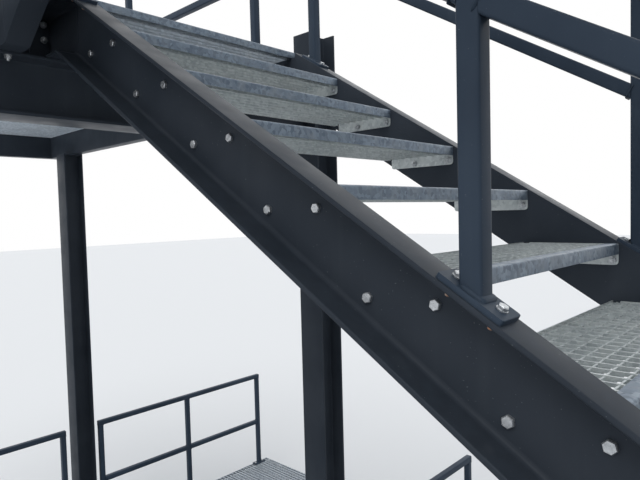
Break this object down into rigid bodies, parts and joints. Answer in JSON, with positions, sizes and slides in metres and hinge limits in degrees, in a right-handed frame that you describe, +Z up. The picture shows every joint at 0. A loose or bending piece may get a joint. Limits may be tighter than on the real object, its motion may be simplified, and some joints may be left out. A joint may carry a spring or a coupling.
{
  "type": "fire escape stair tower",
  "caption": "Open steel fire escape stair tower: straight flights of grating treads between channel stringers, turning at long grating landings on H-section columns.",
  "frame": {"origin": "on the ground, under the middle of the whole outline", "axes": "+X along the flights, the way the first and third flight rise; +Y across the flights towards the second flight; +Z up"},
  "size_m": [9.418, 4.882, 6.415],
  "materials": {
    "charcoal_paint": "semi-gloss",
    "rail_paint": "semi-gloss",
    "zinc_grating": "satin",
    "zinc_tread": "satin"
  },
  "bodies": {
    "root": {"inner_column_left_near": "charcoal_paint", "inner_column_left_far": "charcoal_paint", "inner_column_right_near": "charcoal_paint", "inner_column_right_far": "charcoal_paint", "outer_columns_left": "charcoal_paint", "outer_columns_right": "charcoal_paint", "cross_beam_left": "charcoal_paint", "cross_beam_right_lower": "charcoal_paint", "cross_beam_right_upper": "charcoal_paint", "base_frame": "charcoal_paint", "lower_landing_frame": "charcoal_paint", "middle_landing_frame": "charcoal_paint", "upper_landing_frame": "charcoal_paint", "flight_1_inner_stringer": "charcoal_paint", "flight_1_outer_stringer": "charcoal_paint", "flight_2_inner_stringer": "charcoal_paint", "flight_2_outer_stringer": "charcoal_paint", "flight_3_inner_stringer": "charcoal_paint", "flight_3_outer_stringer": "charcoal_paint", "flight_1_inner_rail": "rail_paint", "flight_1_outer_rail": "rail_paint", "flight_2_inner_rail": "rail_paint", "flight_2_outer_rail": "rail_paint", "flight_3_inner_rail": "rail_paint", "flight_3_outer_rail": "rail_paint", "base_guard_left_near": "rail_paint", "base_guard_left_far": "rail_paint", "base_guard_right_far": "rail_paint", "lower_guard_near": "rail_paint", "lower_guard_far": "rail_paint", "lower_guard_end": "rail_paint", "middle_guard_near": "rail_paint", "middle_guard_far": "rail_paint", "middle_guard_end": "rail_paint", "upper_guard_near": "rail_paint", "upper_guard_far": "rail_paint", "upper_guard_end": "rail_paint", "base_grating": "zinc_grating", "lower_landing_grating": "zinc_grating", "middle_landing_grating": "zinc_grating", "upper_landing_grating": "zinc_grating", "flight_1_treads": "zinc_tread", "flight_2_treads": "zinc_tread", "flight_3_treads": "zinc_tread"}
  },
  "joints": []
}
